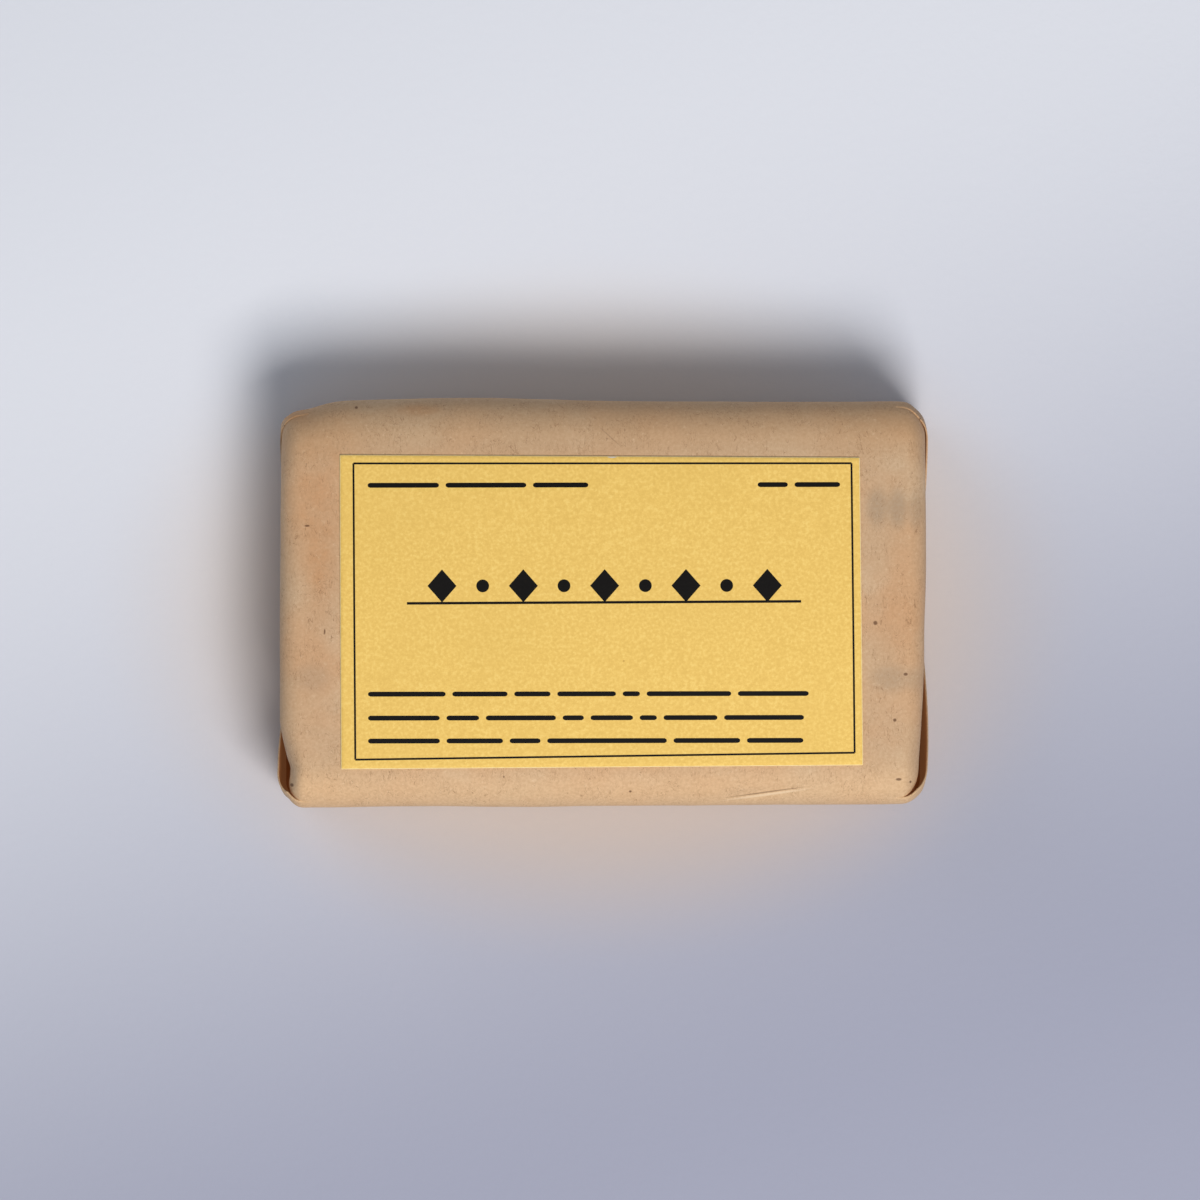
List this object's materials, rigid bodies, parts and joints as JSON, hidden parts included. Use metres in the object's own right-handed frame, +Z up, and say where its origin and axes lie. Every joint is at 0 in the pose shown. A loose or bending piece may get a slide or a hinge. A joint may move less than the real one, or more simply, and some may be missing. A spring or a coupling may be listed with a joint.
{
  "type": "wrapped butter block",
  "caption": "Pat of butter folded in tan wrapping paper with tucked ends and a plain yellow paper label on top.",
  "frame": {"origin": "centre of the box round the block, on the surface that it rests on", "axes": "+X along the block's length, +Z up through the label; the front long side faces -Y"},
  "size_m": [0.0976, 0.0608, 0.0242],
  "materials": {
    "wrapping_paper": "matt tan paper",
    "label_paper": "matt embossed yellow paper"
  },
  "bodies": {
    "root": {"wrapped_block": "wrapping_paper", "label": "label_paper"}
  },
  "joints": []
}
